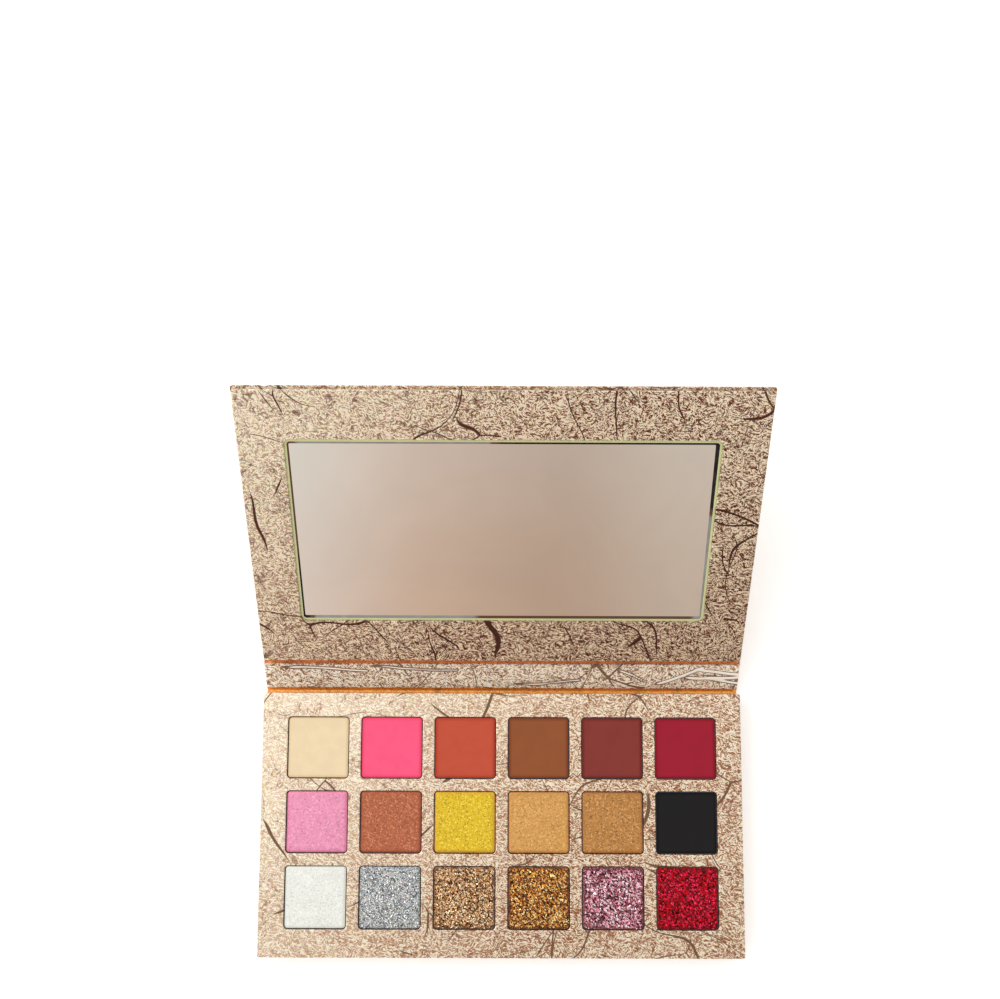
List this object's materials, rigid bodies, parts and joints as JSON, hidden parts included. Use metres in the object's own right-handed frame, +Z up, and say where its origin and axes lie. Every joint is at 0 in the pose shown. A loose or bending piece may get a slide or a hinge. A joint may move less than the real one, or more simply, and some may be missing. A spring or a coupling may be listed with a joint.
{
  "type": "eyeshadow palette",
  "caption": "Book-style eyeshadow palette: foil-papered board case, mirror lid on a hinged spine, tray of square powder pans.",
  "frame": {"origin": "centre of the base board's underside", "axes": "+X to the right, +Y towards the spine and lid, +Z up"},
  "size_m": [0.2096, 0.2302, 0.065],
  "materials": {
    "grey_board": "raw grey board",
    "foil_paper": "embossed champagne foil, satin metallic",
    "adhesive": "clear adhesive",
    "tin": "tin-plated sheet",
    "magnet": "nickel-plated",
    "mirror_glass": "silvered glass",
    "powder_cream": "matte pressed powder",
    "powder_hot_pink": "matte pressed powder",
    "powder_brick": "matte pressed powder",
    "powder_brown": "matte pressed powder",
    "powder_maroon": "matte pressed powder",
    "powder_crimson": "matte pressed powder",
    "powder_rose_shimmer": "shimmer pressed powder",
    "powder_copper_shimmer": "shimmer pressed powder",
    "powder_gold_shimmer": "shimmer pressed powder",
    "powder_champagne_shimmer": "shimmer pressed powder",
    "powder_bronze_shimmer": "shimmer pressed powder",
    "powder_black": "matte pressed powder",
    "powder_pearl": "pearl pressed powder",
    "powder_silver_glitter": "glitter pressed powder",
    "powder_sand_glitter": "glitter pressed powder",
    "powder_amber_glitter": "glitter pressed powder",
    "powder_mauve_glitter": "glitter pressed powder",
    "powder_red_glitter": "glitter pressed powder"
  },
  "bodies": {
    "base": {"base_board": "grey_board", "base_wrap": "foil_paper", "base_glue": "adhesive", "tray_floor": "grey_board", "tray_grid": "grey_board", "tray_face": "grey_board", "tray_wrap": "foil_paper", "tray_magnets": "magnet", "pan_pads": "adhesive", "pan_cream": "tin", "pan_hot_pink": "tin", "pan_brick": "tin", "pan_brown": "tin", "pan_maroon": "tin", "pan_crimson": "tin", "pan_rose_shimmer": "tin", "pan_copper_shimmer": "tin", "pan_gold_shimmer": "tin", "pan_champagne_shimmer": "tin", "pan_bronze_shimmer": "tin", "pan_black": "tin", "pan_pearl": "tin", "pan_silver_glitter": "tin", "pan_sand_glitter": "tin", "pan_amber_glitter": "tin", "pan_mauve_glitter": "tin", "pan_red_glitter": "tin", "powder_cream": "powder_cream", "powder_hot_pink": "powder_hot_pink", "powder_brick": "powder_brick", "powder_brown": "powder_brown", "powder_maroon": "powder_maroon", "powder_crimson": "powder_crimson", "powder_rose_shimmer": "powder_rose_shimmer", "powder_copper_shimmer": "powder_copper_shimmer", "powder_gold_shimmer": "powder_gold_shimmer", "powder_champagne_shimmer": "powder_champagne_shimmer", "powder_bronze_shimmer": "powder_bronze_shimmer", "powder_black": "powder_black", "powder_pearl": "powder_pearl", "powder_silver_glitter": "powder_silver_glitter", "powder_sand_glitter": "powder_sand_glitter", "powder_amber_glitter": "powder_amber_glitter", "powder_mauve_glitter": "powder_mauve_glitter", "powder_red_glitter": "powder_red_glitter"},
    "spine": {"spine_board": "grey_board", "spine_wrap": "foil_paper", "spine_liner": "foil_paper", "base_crease": "foil_paper", "lid_crease": "foil_paper"},
    "lid": {"lid_board": "grey_board", "lid_wrap": "foil_paper", "lid_glue": "adhesive", "mirror_frame": "grey_board", "frame_wrap": "foil_paper", "mirror": "mirror_glass", "mirror_tape": "adhesive", "lid_magnets": "magnet"}
  },
  "joints": [
    {"name": "spine_hinge", "type": "hinge", "parent": "base", "child": "spine", "pos_m": [0, 0.0582, 0.0011], "axis": [1, 0, 0], "range_deg": [-26, 64]},
    {"name": "lid_hinge", "type": "hinge", "parent": "spine", "child": "lid", "pos_m": [0, 0.0715, 0.00759], "axis": [1, 0, 0], "range_deg": [-2, 88]}
  ]
}
